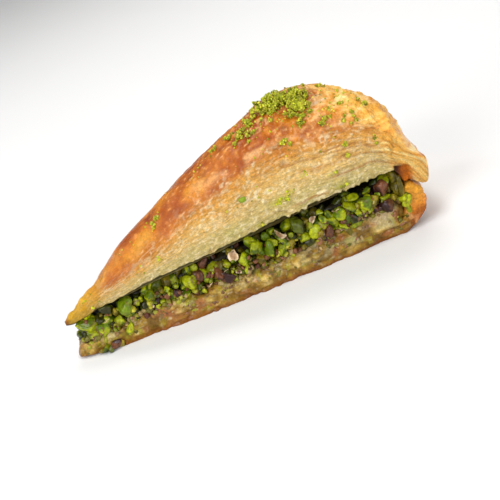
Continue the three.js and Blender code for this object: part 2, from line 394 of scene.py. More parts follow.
def make_camera():
    level = math.cos(ELEVATION)
    ahead = -Vector((math.sin(AZIMUTH) * level, -math.cos(AZIMUTH) * level, math.sin(ELEVATION)))
    right = Vector((math.cos(AZIMUTH), math.sin(AZIMUTH), 0))
    up = right.cross(ahead)
    turned_right = math.cos(ROLL) * right - math.sin(ROLL) * up
    turned_up = math.sin(ROLL) * right + math.cos(ROLL) * up
    data = bpy.data.cameras.new("camera")
    data.lens, data.sensor_width = LENS, 36
    data.shift_x, data.shift_y = SHIFT
    data.clip_start, data.clip_end = 0.01, 20
    ob = placed("camera", data)
    turn = Matrix((turned_right, turned_up, -ahead)).transposed().to_4x4()
    ob.matrix_world = Matrix.Translation((Vector(AIM) - ahead * DISTANCE) * MM) @ turn
    bpy.context.scene.camera = ob


make_camera()

# ---- the puffed upper pastry
CUT_HEIGHT = curve([(0.2, 2.2), (7, 4.5), (20, 8.5), (40, 15), (64, 24), (85, 25), (103, 25),
                    (118, 23.5), (138, 19), (150.8, 11)])
SHEETS = 30  # sheets that show at the cut
BODY_RINGS, HOOK_RINGS = 272, 52
OVER, UNDER = 264, 32  # points of each ring on the outside, and on the underside
NOSE_PIVOT = (128, 8)  # the sheets turn down round this place at the rim
NOSE_TURN = 18.4
TIP_DROOP = 2.6
CUT_DEPTH = 8  # the sheets keep one pattern this far in from the near cut
CRUST_CELL, BASE_CELL = 6.3, 4.7  # and then change over this width
POCKET_DEPTH = 2.2
STAINS = [(93, 33, 3), (96, 34.3, 2.2), (90, 32.4, 1.6), (81.5, 27, 1.8), (115.7, 29, 2.2),
          (114, 35, 1.4), (41.8, 28.3, 1.6), (104, 38, 1.2), (70, 29, 1.3)]  # green, at s, z, size


def crust_grid():
    """Rings of the crust's even surface, from the near lower edge over the crest and back below:
    s, share of the half width, half width, height, and whether a point of a ring is outside."""
    t = np.linspace(0, 1, BODY_RINGS)
    along = np.concatenate([
        CRUST_START + (HOOK_START - CRUST_START) * (0.85 * t + 0.15 * (1 - np.cos(math.pi * t)) / 2),
        HOOK_START + (CRUST_END - HOOK_START) * np.sin(np.linspace(0, math.pi / 2, HOOK_RINGS))[1:]])
    angle = math.pi * np.linspace(0, 1, 400)
    c, si = np.cos(angle), np.sin(angle)
    share = np.zeros((len(along), OVER))
    up = np.zeros_like(share)
    half = crust_half(along)
    edge = crust_under(along, 1)
    rise = np.maximum(crest(along) - edge, CRUST_LIP)
    for i, s in enumerate(along):
        p = float(section_power(s))
        sh = -np.sign(c) * np.abs(c) ** (2 / p)
        u = clip01(si) ** (2 / p)
        step = np.hypot(np.diff(sh * half[i]), np.diff(u * rise[i]))
        length = np.concatenate([[0], np.cumsum(step)])
        want = np.linspace(0, length[-1], OVER)
        share[i] = np.interp(want, length, sh)
        up[i] = np.interp(want, length, u)
    low = np.linspace(1, -1, UNDER + 2)[1:-1] * 0.985
    s = np.broadcast_to(along[:, None], (len(along), OVER + UNDER))
    sh = np.concatenate([share, np.broadcast_to(low, (len(along), UNDER))], 1)
    z = np.concatenate([edge[:, None] + CRUST_LIP + rise[:, None] * up,
                        crust_under(along[:, None], low[None, :])], 1)
    return s, sh, half[:, None] * np.ones_like(s), z, np.arange(OVER + UNDER) < OVER


def crust():
    """The crust's rings, colours, wetness, place among the sheets, and how flaky each point is."""
    s, sh, half, z, top = crust_grid()
    p = np.stack([sag_x(s, sh), sh * half, z], -1)
    n = grid_normals(p)
    y = p[..., 1]
    hand = np.maximum((sh + 1) * half - CUT_DEPTH, 0) / CRUST_CELL
    over = top * np.ones_like(s)

    def lumpy(a, b, c, seed):
        return noise(s / a, y / b, z / c, seed)

    # how far up the cut a point is, in sheets: they run along the cut and turn down at the rim
    turned = np.hypot(s - NOSE_PIVOT[0], z - NOSE_PIVOT[1]) - NOSE_TURN
    level = np.where(s < NOSE_PIVOT[0], z - edge_height(s), turned) / CUT_HEIGHT(s)
    level = level + 0.03 * noise(s / 16, hand, seed=5) + 0.02 * noise(s / 5, level * 5, hand, 6)
    ragged = 0.10 * noise(s / 7, y / 5, seed=8) + 0.07 * noise(s / 2.6, y / 2.6, seed=9)
    apart = ease(45, 92, s)  # towards the rim the sheets stand apart, towards the point they merge
    skin = ease(mix(0.45, 0.93, apart), mix(1, 1.06, apart), level + ragged) * over
    # sheets: each one ends a little further out or in than the next
    wave = level * SHEETS + 0.5 * noise(s / 22, hand, seed=11) \
        + 0.5 * noise(s / 6, level * 6, hand, 12)
    cut = cells(s, wave, hand)
    k = np.floor(wave)
    stand = 0.36 * noise(s / 9 + k * 7.3, k * 3.1, hand, 13) \
        + 0.26 * noise(s / 3.2 + k * 3.7, k * 5.3, hand, 14)
    crumbly = 0.26 * noise(s / 1.2, wave * 0.8, hand, 15) \
        + 0.34 * np.abs(noise(s / 3.3, wave * 0.35, hand, 16))
    fold = (np.mod(k, 6) == 3) * ease(80, 104, s) * clip01(0.4 + noise(s / 15, k, hand, 17)) * 0.6
    face = (stand + crumbly + 0.15 * np.sin(np.pi * (wave - k)) ** 0.6 - 0.35 - fold) * (1 - skin)
    face = face * mix(0.5, 1, apart)
    # the skin: soft blisters, creases running down from the crest, and a film that crinkles
    blister = np.maximum(fbm(s / 8.5, y / 6.5, z / 9, 20, 2), -0.1)
    lean = s * 0.8 + np.abs(y) * 0.6
    crease = 1 - np.abs(noise(lean / 4.2, (s * 0.5 - np.abs(y)) / 11, seed=22))
    crinkle = fbm(s / 2.2, y / 2.2, z / 2.6, 23, 2)
    small = spots(lumpy(1.7, 1.6, 2.2, 24), 1, 0.25)
    crisp = np.abs(lumpy(1.5, 1.7, 1.5, 28)) * ease(85, 115, s)
    plates = 2.6 * lumpy(7.5, 3.6, 5, 67) + 0.8 * lumpy(2.4, 1.6, 2, 68)
    plates = (np.floor(plates) + ease(0, 0.28, plates - np.floor(plates))) * ease(88, 108, s)
    skin_h = 0.6 + 0.34 * plates + 0.75 * blister + 0.4 * (crease - 0.6) + 0.26 * crinkle \
        + 0.7 * small + 0.5 * crisp
    out = face + skin * skin_h * ease(0, 12, s) * mix(0.45, 1, ease(35, 85, s))
    out += 0.45 * lumpy(17, 15, 17, 25)
    shoulder = np.exp(-((level - 1) / 0.08) ** 2) * apart
    lifted = spots(noise(s / 5.5, level * 9, hand, 26), 2)
    out += shoulder * lifted * 0.8
    out *= mix(1, 0.35, ease(139, 147, s))
    pucker = fbm(s / 3.4, y / 5, z / 3, 27, 2)
    out += ease(137, 143, s) * (0.9 * pucker + 0.4 * crinkle)
    out -= 1.2 * np.exp(-((s - 143.5) / 3.6) ** 2) * ease(34, 44, z)
    out *= 1 - ease(147.5, 150.4, s)
    out = out * over * (ease(0.2, 12, s) * 0.8 + 0.2)
    out += (1 - over) * ease(142, 146, s) * (0.7 * pucker
                                             + 0.5 * noise(y / 2.7, z / 2, s / 3, 93))
    out += over * 0.9 * lumpy(3.1, 2.6, 3.4, 35) * ease(0.3, 2.5, s) * ease(22, 12, s)
    p = p + n * out[..., None]
    # the rim comes down steeply and rolls out again over the lip
    rolled = ease(136, 144, s) * mix(1, 0.12, ease(-0.9, -0.1, sh))
    step = z + 1.8 * noise(y / 7.5, 0.3, seed=34) * ease(-0.95, -0.6, sh)
    p[..., 0] -= rolled * (1.7 * ease(27.6, 32, step) * ease(58, 47, z)
                           + 1.1 * np.exp(-((step - 33.4) / 2.6) ** 2))
    p[..., 0] += ease(143, 148, s) * (0.6 * noise(y / 5, z / 4, seed=92)
                                      + 0.5 * ease(35, 28, z))
    pocket = ease(137.6, 139, s) * ease(145, 143.4, s) * ease(29, 27.2, z + 0.3 * (s - 138))
    p[..., 1] *= 1 - POCKET_DEPTH * pocket / np.maximum(half, 1)
    # the lower edge of the cut is crumbly, the tip droops, and the rim comes down to the lip
    torn = over * ease(0.14, 0, level) * (s < 137) * (0.5 + 0.5 * ease(75, 105, s))
    p[..., 2] += torn * (0.8 * noise(s / 1.1, hand, seed=31) + 0.6 * noise(s / 4.2, hand, seed=32))
    p[..., 2] += (1 - over) * 0.25 * fbm(s / 3, y / 3, seed=33)
    p[..., 2] -= TIP_DROOP * ease(15, 1, s) + 5 * ease(142.5, 149, s) * ease(36, 22, z)
    # colours of the cut
    v = clip01(level + ease(95, 20, s) * 0.26 * clip01(level * 2) + 0.09 * cut(12, 5, 41)
               + 0.07 * cut(4, 1.6, 42))
    pale = ramp(v, [(0, (176, 158, 92)), (0.07, (194, 174, 106)), (0.3, (208, 180, 112)),
                    (0.5, (222, 182, 106)), (0.7, (218, 160, 74)), (0.88, (206, 132, 48)),
                    (1, (186, 102, 30))])
    streak = 0.5 * noise(s / 4.5 + k * 2.9, wave * 0.8, hand, 43) + 0.5 * cut(1.5, 1, 44)
    # pale dabs on the cut: painted highlights where sheet edges catch the light, gathered lower on
    # the face
    glint_patches = ease(0, 0.6, fbm(s / 8, wave / 4, hand, 55, 2)) * ease(0.85, 0.35, level)
    painted_glints = np.maximum(spots(cut(1.7, 1.1, 45), 2.2, 0.4) * (0.4 + 0.6 * glint_patches),
                       spots(cut(0.9, 0.8, 49), 2.4, 0.8) * 0.8)
    dark = spots(cut(5.5, 0.9, 46), 2.4, 1) * ease(0.3, 0.6, level) * apart
    pale = stained(
        pale * (1 + 0.15 * streak)[..., None],
        ((176, 168, 86), spots(cut(6, 4, 47), 2) * ease(0.45, 0.1, level) * 0.3),
        ((250, 234, 190), painted_glints * 0.78),
        ((170, 126, 62), spots(cut(2.4, 0.7, 38), 2, 0.7) * 0.4),
        ((160, 96, 36), np.maximum(dark * 0.6, clip01(fold * 2) * 0.6)))
    for at, high, size in STAINS:
        near = np.exp(-(((s - at) / size) ** 2 + ((z - high) / (size * 0.6)) ** 2)) * (sh < 0)
        near = near * 0.5 * clip01(0.8 + noise(s / 1.2, z / 1.2, seed=48))
        pale = blend(pale, (182, 176, 44), near)
    # colours of the skin: brown over most of it, golden towards the rim with its palest tones a
    # painted sheen, pale where it has peeled, partly painted highlight, and painted glints
    brown = fbm(s / 13, y / 9, z / 12, 50, 3)
    right = ease(104, 134, s + 7 * lumpy(11, 9, 9, 37))
    baked = ramp(clip01(0.5 + 0.85 * brown + 0.2 * crinkle - 0.2 * ease(75, 40, s)),
                 [(0, (202, 136, 36)), (0.35, (190, 110, 20)), (0.65, (160, 76, 8)),
                  (1, (122, 44, 4))])
    flake = lumpy(3.2, 1.5, 1.8, 51) + 0.4 * lumpy(1.2, 0.8, 0.9, 86)
    # golden skin towards the rim; its palest tones are painted sheen
    golden_and_sheen = ramp(flake, [(-0.9, (200, 110, 32)), (-0.35, (224, 150, 62)), (0.1, (240, 184, 98)),
                          (0.5, (250, 208, 136)), (0.9, (254, 236, 192))])
    # pale peeled film on the skin, partly painted highlight; on the lifted sheet edges at the
    # shoulder it is painted highlight
    peeled_and_sheen = spots(lumpy(2.8, 1.8, 2.4, 53), 3, 0.7) * ease(86, 98, s) \
        * clip01(0.45 + 1.5 * lumpy(1.1, 0.7, 0.8, 94))
    mottle = lumpy(1.8, 1.5, 1.8, 39)
    baked = stained(
        baked,
        (golden_and_sheen, right * clip01(0.8 + 0.5 * lumpy(6, 6, 6, 87))),
        ((240, 188, 124), np.maximum(peeled_and_sheen, shoulder * lifted) * 0.7),
        ((120, 44, 8), spots(lumpy(5, 4, 5, 54), 2.5, 1) * (1 - right) * 0.6),
        # painted highlights: small pale glints on the skin
        ((244, 196, 122), spots(lumpy(1.3, 0.8, 0.9, 99), 2.6, 1.2) * ease(30, 60, s) * 0.55),
        ((232, 158, 74), spots(mottle, 2, 0.7) * 0.55),
        ((126, 50, 12), spots(-mottle, 2, 0.6) * 0.4 * (1 - right)))
    # colours of the rim end, of the pocket under its hook, painted darker towards its inner end as
    # painted shade, and of the underside, painted near black along its edges as painted shade
    gold = ease(130, 143, s + 9 * (level - 0.5) + 2 * noise(s / 3, z / 3, seed=56)) \
        * np.maximum(over, ease(143, 147, s))
    line = noise(turned * 1.5, hand, noise(s / 9, z / 9, seed=88) * 0.8, 89)
    gold_tone = ramp(0.8 * line + 0.5 * streak, [
        (-0.8, (200, 122, 34)), (-0.3, (234, 164, 60)), (0.2, (250, 194, 90)),
        (0.7, (255, 230, 156))])
    # the pocket: orange-brown, painted darker towards its inner upper end as painted shade of the
    # recess
    shaded_pocket = blend(linear((84, 38, 4)), (204, 108, 6), ease(138.5, 142.6, s + (22 - z) * 0.25))
    shaded_pocket = shaded_pocket * (1 + 0.35 * noise(s / 1.6, z / 1.4, seed=90))[..., None]
    toasted = clip01(0.15 + fbm(s / 7, y / 6, z / 5, 29, 3) * 1.8) * ease(138, 145, s) \
        * mix(0.25, 1, ease(-0.9, -0.4, sh))
    tone = stained(
        blend(pale, baked, skin),
        (linear((208, 160, 20)) * (1 + 0.2 * streak)[..., None], ease(24, 5, s) * 0.88),
        ((136, 62, 18), ease(2.6, 0.6, s) * 0.8),
        (gold_tone, gold * 0.85),
        (shaded_pocket, pocket),
        ((180, 92, 26), toasted * 0.7 * (1 - pocket)),
        # painted shade: the underside near black along its edges, over the dark gap under the cut
        ((30, 20, 6), (1 - over) * ease(REST_SHARE, 0.9, np.abs(sh)) * (s < 138)),
        (linear((206, 124, 38)) * (1 + 0.25 * mottle)[..., None],
         (1 - over) * (s >= 138) * (1 - pocket) * (1 - toasted * 0.6) * ease(147, 143, s)))
    wet = 0.2 + 0.7 * skin + 0.3 * clip01(streak)
    flaky = np.where(top, 1 - skin, 0.3)
    return p, tone, wet, level + 0.02 * noise(s / 9, hand, seed=52), flaky


def closed_crust(rings):
    """Points and triangles of the crust. Its last ring is closed from the outside to the underside,
    as the end is bowed and a panel straight across would lie behind it."""
    rows, ring = rings.shape[:2]
    quads = np.concatenate([ring_faces(rows, ring), cap_faces(ring, 0, False)])
    verts = rings.reshape(-1, 3)
    first = (rows - 1) * ring
    upper = first + np.arange(OVER)
    lower = first + np.arange(ring - 1, OVER - 1, -1)
    end, i, j = [], 0, 0
    while i < OVER - 1 or j < UNDER - 1:
        if j == UNDER - 1 or (i < OVER - 1 and verts[upper[i + 1], 1] < verts[lower[j + 1], 1]):
            end.append((upper[i], lower[j], upper[i + 1]))
            i += 1
        else:
            end.append((upper[i], lower[j], lower[j + 1]))
            j += 1
    return verts, np.concatenate([quads[:, [0, 1, 2]], quads[:, [0, 2, 3]], np.array(end)])


crust_material = food("baked_crust_film", rough=(0.5, 0.15), coat=0.10, grain=(1500, 0.25),
                      fleck=(1500, 0.22), specular=0.25, layered=(0.24, 560, 60))
points, tone, wet, lay, flaky = crust()
crust_points, crust_faces = closed_crust(points)
make_piece("crust_shell", crust_points, crust_faces, tone, wet, crust_material, "upper_pastry",
           lay=lay, flaky=flaky)
crust_tree = BVHTree.FromPolygons([Vector(p) for p in crust_points],
                                  [tuple(int(k) for k in f) for f in crust_faces])


# ---- the lower pastry and its lip
OUTER_PATH = [(0, 1.1), (22, 0), (70, 0), (120, 0), (134, 0.1), (139, 1.4), (142.6, 4.6),
              (144.5, 9.5), (144.9, 14.5), (143.4, 18.2)]
INNER_PATH = [(0, 4.2), (22, 4.3), (70, 4.5), (120, 4.7), (131, 4.8), (135.2, 5.6), (137.4, 8),
              (138.3, 12), (138.9, 15.6), (140.6, 18.5)]


def path_curves(path):
    """Smooth curves for x and z along a path, by the number of its point."""
    return [curve([(i, p[axis]) for i, p in enumerate(path)]) for axis in (0, 1)]


def even_steps(path, steps):
    """Places along a path, by the number of its point, that lie evenly apart."""
    fx, fz = path_curves(path)
    dense = np.linspace(0, len(path) - 1, 1200)
    length = np.concatenate([[0], np.cumsum(np.hypot(np.diff(fx(dense)), np.diff(fz(dense))))])
    return np.interp(np.linspace(0, length[-1], steps), length, dense)


FRONT_SLOPE = 0.34  # the front leans in as it rises
PALE_PATCH = (128.5, 11.4)
FAR_HAND = 40  # the noise's third coordinate on the far cut side, where it is 0 on the near one


def front_x(s, z):
    return s + FRONT_SLOPE * z * ease(10, 0, s)


def front_half(s):
    """Half of the slice's width, with the front corners rounded off."""
    return half_width(s) * mix(0.62, 1, ease(-0.5, 3, s))


def moist(s, z, hand):
    """The soaked mass at the cut: how far it stands out, and its colour, with painted shade in its
    grooves and painted glints.
    """
    at = cells(s, z, hand)
    cell = np.abs(noise(s / 3.8 + 0.5 * at(4, 4, 70), z / 2.6, hand, 71))
    out = 1.3 * cell + 0.35 * np.abs(at(1.3, 1.1, 72)) + 0.6 * fbm(s / 9, z / 6, hand, 73, 2) - 0.5
    out = out + 0.6 * np.sin(np.pi * clip01(z / 11))
    v = clip01(0.45 + 0.6 * fbm(s / 6, z / 3, hand, 75, 3) + 0.25 * cell)
    tone = ramp(v, [(0, (80, 54, 8)), (0.3, (108, 78, 18)), (0.55, (136, 104, 34)),
                    (0.8, (164, 134, 60)), (1, (196, 170, 104))])
    # painted shade: darker in the grooves between the lumps, lighter on them
    tone = tone * mix(0.7, 1.04, ease(0, 0.2, cell))[..., None]
    tone = tone * (1 + 0.3 * at(1.1, 1, 36))[..., None]
    patch = np.exp(-(((s - PALE_PATCH[0]) / 6) ** 2 + ((z - PALE_PATCH[1]) / 3) ** 2))
    low = ease(7, 2, z) * clip01(0.6 + at(3.4, 2.4, 91))
    under = ease(2.6, 0.2, z + 0.5 * noise(s / 3, hand, seed=80))
    return out, stained(
        tone,
        ((158, 96, 56), spots(at(4.6, 3, 76), 2.4, 0.7) * 0.7),
        ((150, 138, 30), spots(at(2.8, 2.2, 77), 2.6, 1.1) * 0.8),
        ((166, 162, 118), spots(at(5.2, 3.4, 60), 2.2, 0.6) * ease(3, 5, z) * 0.5),
        # painted highlights: pale glints on the wet mass
        ((196, 180, 140), spots(at(1.4, 1.2, 79), 2.6, 1.4) * 0.6),
        ((184, 160, 116), patch * 0.85),
        ((134, 98, 42), low * 0.45),
        ((116, 62, 16), under * 0.85))


def lower_pastry():
    """Rings along the lower pastry and up its lip, with their colours and wetness."""
    at, qq, share = slab_grid(even_steps(OUTER_PATH, 330), 14, 44)
    x, z = (mix(outer(at), inner(at), qq)
            for outer, inner in zip(path_curves(OUTER_PATH), path_curves(INNER_PATH)))
    hand = (share + 1) * half_width(x) / BASE_CELL
    cut = cells(x, z, hand)
    onside = np.abs(share) > 0.999
    out, mass = moist(x, z, hand)
    lip = ease(135.5, 140.5, x + 0.25 * np.maximum(z - 4, 0))
    k = np.floor(qq * 5.99)
    rim = 0.35 * noise(z / 6 + k * 5.1, k * 2.3, hand, 61) + 0.6 * np.sin(np.pi * qq) \
        + 0.4 * np.abs(cut(1.9, 1.6, 62)) + 0.3 * cut(4, 3, 69)
    foot = 0.8 * ease(3.2, 0.4, z) * ease(12, 26, x) * ease(112, 86, x)
    y = share * (front_half(x) - 0.3 + (mix(out, rim, lip) + foot) * onside)
    inner, outer = (qq > 0.999) & ~onside, (qq < 0.001) & ~onside
    z = z + inner * 0.25 * fbm(x / 4, y / 4, seed=63)
    bulge = (1 - qq) * lip * (0.6 * fbm(x / 5, y / 5, z / 5, 64)
                              + 0.5 * noise(y / 2, z / 2.2, seed=59)
                              + 2 * ease(-1, 8, z) * ease(20, 13, z)
                              + 0.7 * np.abs(noise(y / 8, z / 1.3, seed=95)) * ~onside)
    start = ease(4, 0, x) * 0.7 * noise(y / 1.6, z / 1.6, seed=58)
    p = np.stack([sag_x(front_x(x, z), share) + bulge + start, y, np.maximum(z, 0)], -1)
    streak = 0.5 * noise(x / 5 + k * 3.3, z / 2.5, hand, 65) + 0.5 * noise(x / 1.8, z / 1.5, hand, 66)
    lip_tone = ramp(ease(3, 18, z), [
        (0, (128, 62, 12)), (0.25, (182, 104, 30)), (0.55, (212, 142, 50)), (0.8, (206, 142, 46)),
        (1, (196, 138, 40))])
    crusty = clip01(0.2 + 1.6 * fbm(x / 6, y / 5.5, z / 4, 96, 3)) * (1 - qq)
    lip_tone = stained(
        lip_tone * (1 + 0.3 * streak)[..., None],
        ((236, 176, 116), spots(noise(x / 2, z / 2.6, hand, 57), 2.4, 0.6) * 0.6),
        ((168, 84, 22), crusty * 0.65),
        ((242, 190, 104), spots(noise(y / 3, z / 1.1, x / 3, 97), 2.2, 0.7) * ~onside * 0.5))
    tone = stained(mass, (lip_tone, lip), ((132, 82, 38), outer * (1 - lip) * 0.9))
    return p, tone, 0.65 + 0.25 * streak


SOAKED = dict(rough=(0.42, 0.14), depth=0.001, grain=(900, 0.5), fleck=(1300, 0.28))
base_material = food("soaked_pastry_sheets", coat=0.08, sss=0.08, specular=0.12, **SOAKED)
solid("lower_sheets", lower_pastry(), base_material, "lower_pastry")

# ---- the soaked cream
CREAM_EDGE = curve([(0, 6.8), (20, 8.2), (30, 9.4), (60, 10.2), (100, 10.4), (116, 11.2),
                    (123, 13), (130, 14.6), (138, 13.6)])  # its upper border at the cut


def cream():
    """Rings along the soaked cream, with their colours and wetness."""
    s, qq, share = slab_grid(np.linspace(0.3, 137.6, 340), 26, 14)
    hand = np.where(share < 0, 0, FAR_HAND)
    bottom = lower_top(s) - 0.8
    top = mix(mix(7.6, 10.6, s / RIM_AT), CREAM_EDGE(s), ease(0.75, 1, np.abs(share)))
    top = top + (0.9 * noise(s / 3.5, hand, seed=71) + 0.5 * noise(s / 1.4, hand, seed=74)
                 + 1.1 * noise(s / 9, hand, seed=98) * ease(122, 112, s)) \
        * (np.abs(share) > 0.9)
    z = mix(bottom, top, qq)
    out, tone = moist(s, z, hand)
    onside = np.abs(share) > 0.999
    out = out - 2.2 * ease(0.6, 1, qq) ** 2  # the top edge rounds off under the nuts
    out = out - 3 * ease(132.5, 137.6, s)  # and the end tucks in behind the lip
    y = share * (front_half(s) - 0.3 + np.where(onside, out, -1.5))
    start = ease(4, 0, s) * 0.7 * noise(y / 1.6, z / 1.6, seed=58)
    p = np.stack([sag_x(front_x(s, z), share) + start, y, z], -1)
    return p, tone, 0.75 + 0.3 * noise(s / 3, z / 2, hand, 78)


cream_material = food("soaked_cream", coat=0.15, sss=0.12, radius=(1, 0.75, 0.4), specular=0.2,
                      **SOAKED)
solid("cream_slab", cream(), cream_material, "cream_layer")


# ---- lumps: nuts, crumbs, grains
def ico(level):
    t = (1 + 5 ** 0.5) / 2
    v = [(-1, t, 0), (1, t, 0), (-1, -t, 0), (1, -t, 0), (0, -1, t), (0, 1, t), (0, -1, -t),
         (0, 1, -t), (t, 0, -1), (t, 0, 1), (-t, 0, -1), (-t, 0, 1)]
    f = [(0, 11, 5), (0, 5, 1), (0, 1, 7), (0, 7, 10), (0, 10, 11), (1, 5, 9), (5, 11, 4),
         (11, 10, 2), (10, 7, 6), (7, 1, 8), (3, 9, 4), (3, 4, 2), (3, 2, 6), (3, 6, 8),
         (3, 8, 9), (4, 9, 5), (2, 4, 11), (6, 2, 10), (8, 6, 7), (9, 8, 1)]
    v = [np.array(p, float) / np.linalg.norm(p) for p in v]
    for _ in range(level):
        seen, new = {}, []

        def middle(a, b):
            key = (min(a, b), max(a, b))
            if key not in seen:
                m = v[a] + v[b]
                v.append(m / np.linalg.norm(m))
                seen[key] = len(v) - 1
            return seen[key]

        for a, b, c in f:
            ab, bc, ca = middle(a, b), middle(b, c), middle(c, a)
            new += [(a, ab, ca), (b, bc, ab), (c, ca, bc), (ab, bc, ca)]
        f = new
    return np.array(v), np.array(f, np.int32)


ICO = {k: ico(k) for k in (1, 2)}


def turn_matrix(rng):
    q = rng.normal(size=4)
    w, x, y, z = q / np.linalg.norm(q)
    return np.array([[1 - 2 * (y * y + z * z), 2 * (x * y - z * w), 2 * (x * z + y * w)],
                     [2 * (x * y + z * w), 1 - 2 * (x * x + z * z), 2 * (y * z - x * w)],
                     [2 * (x * z - y * w), 2 * (y * z + x * w), 1 - 2 * (x * x + y * y)]])


def chopped(rng, radii, planes=8, level=2, crisp=16, rough=0.09):
    """A chopped lump with flat sides and worn edges: its points, and the side each lies on."""
    d = ICO[level][0]
    turn = np.arange(planes) * 2.39996
    high = 1 - (2 * np.arange(planes) + 1) / planes
    across = np.sqrt(1 - high ** 2)
    n = np.stack([np.cos(turn) * across, np.sin(turn) * across, high], 1)
    n = n + rng.normal(0, 0.33, n.shape)
    n /= np.linalg.norm(n, axis=1, keepdims=True)
    reach = rng.uniform(0.62, 1, planes)
    near = np.maximum(d @ n.T, 1e-3) / reach
    v = d * np.minimum((near ** crisp).sum(1) ** (-1 / crisp), 1.2)[:, None]
    v *= 1 + rough * noise(*(v.T * 3), int(rng.integers(1 << 20)))[:, None]
    return v * np.asarray(radii), near.argmax(1)


class Heap:
    """Gathers many small lumps into one mesh."""

    def __init__(self, level):
        self.faces_of_one = ICO[level][1]
        self.v, self.f, self.c, self.w, self.n = [], [], [], [], 0

    def add(self, verts, centre, tone, wet):
        self.v.append(verts + np.asarray(centre))
        self.f.append(self.faces_of_one + self.n)
        self.c.append(np.broadcast_to(tone, (len(verts), 3)))
        self.w.append(np.full(len(verts), wet))
        self.n += len(verts)

    def piece(self, name, material, node):
        make_piece(name, *map(np.concatenate, (self.v, self.f, self.c, self.w)), material, node)


def lump(rng, half, stretch, planes, crisp, tones, shade, rough=0.09):
    """A small lump: its points before it is turned, and its colour."""
    v, _ = chopped(rng, half * rng.uniform(*stretch, 3), planes, 1, crisp, rough)
    return v, linear(tones[rng.integers(len(tones))]) * rng.uniform(*shade)


NUT_TONES = {  # colours of the broken flesh, and of the outside
    "green": ((146, 152, 12), (78, 96, 6)),
    "olive": ((132, 116, 24), (84, 74, 10)),
    "dark": ((76, 84, 12), (42, 42, 6)),
    "purple": ((98, 58, 34), (48, 24, 22)),
}
NUT_SHARES = [0.42, 0.26, 0.18, 0.14]
nut_heaps = {kind: Heap(2) for kind in NUT_TONES}


def nut(kind, s, y, z, size, rng, shape=None, turned=None, lift=1):
    """One piece of pistachio, of that size across, at that place."""
    if shape is None:
        shape = (rng.uniform(1, 1.6), rng.uniform(0.8, 1.1), rng.uniform(0.6, 0.95))
    v, side = chopped(rng, size / 2 * 1.12 * np.asarray(shape), int(rng.integers(7, 12)))
    v = v @ (turn_matrix(rng) if turned is None else turned).T
    flesh, skin = (linear(c) for c in NUT_TONES[kind])
    shade = rng.uniform(0.7, 1.3) * lift
    is_flesh = (rng.random(16) < 0.62)[side] * rng.uniform(0.75, 1, 16)[side]
    mottle = noise(*(v.T * 1.1), int(rng.integers(1 << 20)))
    tone = blend(skin, flesh, is_flesh) * shade * (1 + 0.3 * mottle)[:, None]
    if kind in ("green", "olive") and rng.random() < 0.3:
        tone = blend(tone, (96, 56, 40), spots(mottle, 2.4, 0.4) * 0.8)
    nut_heaps[kind].add(v, (s, y, z), tone, rng.uniform(0.3, 1))


def scatter_filling():
    """Nuts in rows along both cuts, two deep, and a few at the point."""
    rng = np.random.default_rng(7)
    for hand in (-1, 1):
        s = 3.4
        while s < 137.2:
            low, high = CREAM_EDGE(s) - 0.6, filling_top(s) - 0.9
            rows = max(2, int(round((high - low) / 2.7)))
            for r in range(rows + 1):
                z = mix(low, high, r / rows)
                for layer in (0, 1):
                    kind = rng.choice(list(NUT_TONES), p=NUT_SHARES)
                    size = rng.uniform(2.3, 4.6) if layer == 0 else rng.uniform(3.2, 4.6)
                    gone = rng.random()
                    at = s + rng.uniform(-1.4, 1.4)
                    inward = size * 0.42 + rng.uniform(-0.2, 1.6) + layer * 2.9 + 1.8 * (r == rows)
                    deep = z + rng.uniform(-0.9, 0.9)
                    if at < 1.2 + FRONT_SLOPE * deep + 1.2 or (r == rows and gone < 0.45):
                        continue
                    y = hand * max(front_half(at) - inward, 0.3)
                    # the back row is drawn at under half brightness: painted shade behind the front
                    # row
                    nut(kind, sag_x(at, hand * 0.95), y, deep, size, rng,
                        lift=1 if layer == 0 else 0.45)
            s += rng.uniform(2.5, 3.4)
    for z in np.arange(8, 15.5, 2.6):
        for y in (-2, 0.3, 2.2):
            kind = rng.choice(["green", "olive", "dark"])
            nut(kind, 1.7 + FRONT_SLOPE * z + rng.uniform(-0.4, 0.5),
                y + rng.uniform(-0.5, 0.5), z + rng.uniform(-0.5, 0.5), rng.uniform(2.6, 3.8), rng)


MASH_TONES = [(150, 128, 78), (142, 96, 66), (126, 118, 36), (104, 98, 34), (166, 142, 92),
              (134, 104, 60), (156, 154, 44), (112, 80, 52)]


def scatter_mash():
    """Small lumps half sunk in the soaked mass, thicker towards the nuts."""
    rng = np.random.default_rng(23)
    lumps = Heap(1)
    for hand, noise_at in ((-1, 0), (1, FAR_HAND)):
        for _ in range(230):
            s = rng.uniform(1.5, 137)
            edge = CREAM_EDGE(s)
            z = edge + 0.6 - (edge - 0.6) * rng.random() ** 2.2
            size = rng.uniform(1.1, 2.8)
            v, tone = lump(rng, size / 2, (0.75, 1.3), 8, 9, MASH_TONES, (0.7, 1.15))
            proud = moist(*np.array([[s], [z], [noise_at]]))[0][0] - 0.3
            y = hand * (front_half(s) + proud - size * 0.36)
            lumps.add(v @ turn_matrix(rng).T, (sag_x(front_x(s, z), 1), y, max(z, size * 0.5)),
                      tone, rng.uniform(0.5, 1))
    lumps.piece("mash_lumps", cream_material, "cream_layer")


BIT_TONES = [(156, 160, 24), (120, 128, 14), (176, 168, 48), (96, 84, 18), (118, 74, 44),
             (84, 46, 34)]


